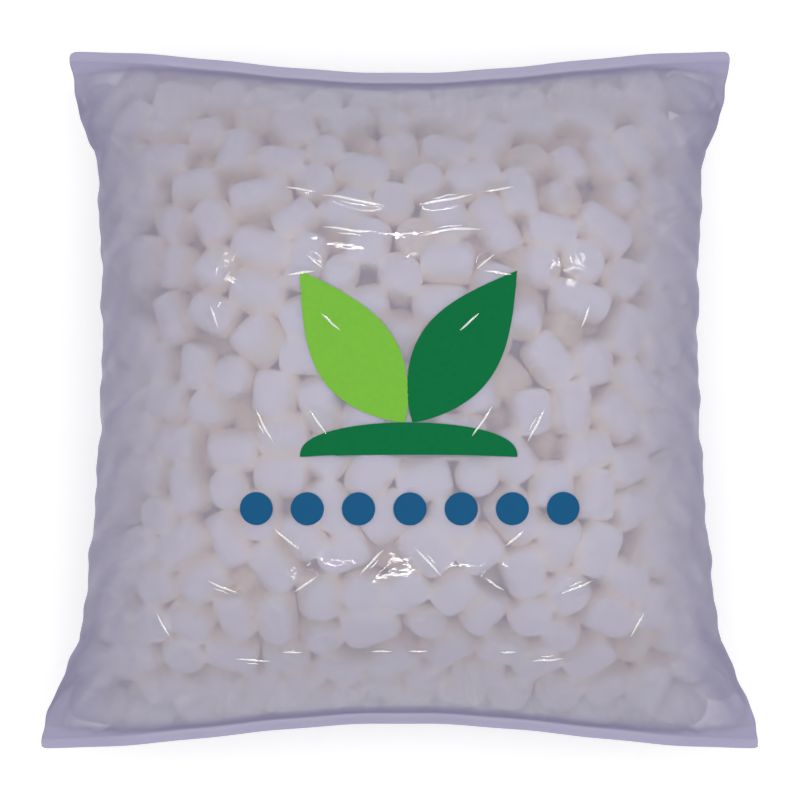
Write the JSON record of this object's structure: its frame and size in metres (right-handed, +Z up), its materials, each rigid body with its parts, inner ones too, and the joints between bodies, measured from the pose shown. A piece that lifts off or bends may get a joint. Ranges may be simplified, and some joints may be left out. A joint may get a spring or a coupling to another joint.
{
  "type": "packing peanut bag",
  "caption": "Clear pillow-shaped film bag with welded ends and four corner ears, full of white cylindrical starch packing peanuts, lying on its back panel.",
  "frame": {"origin": "on the floor, under the centre of the bag's bounding box, as it lies on its back panel", "axes": "+X across the bag, +Y from its bottom seal to its top seal, +Z up through its thickness, out of the printed front panel"},
  "size_m": [0.616, 0.594, 0.2441],
  "materials": {
    "film": "thin clear film with a faint lavender haze",
    "foam": "matte white extruded starch foam"
  },
  "bodies": {
    "root": {"film_bag": "film", "packing_peanuts": "foam"}
  },
  "joints": []
}
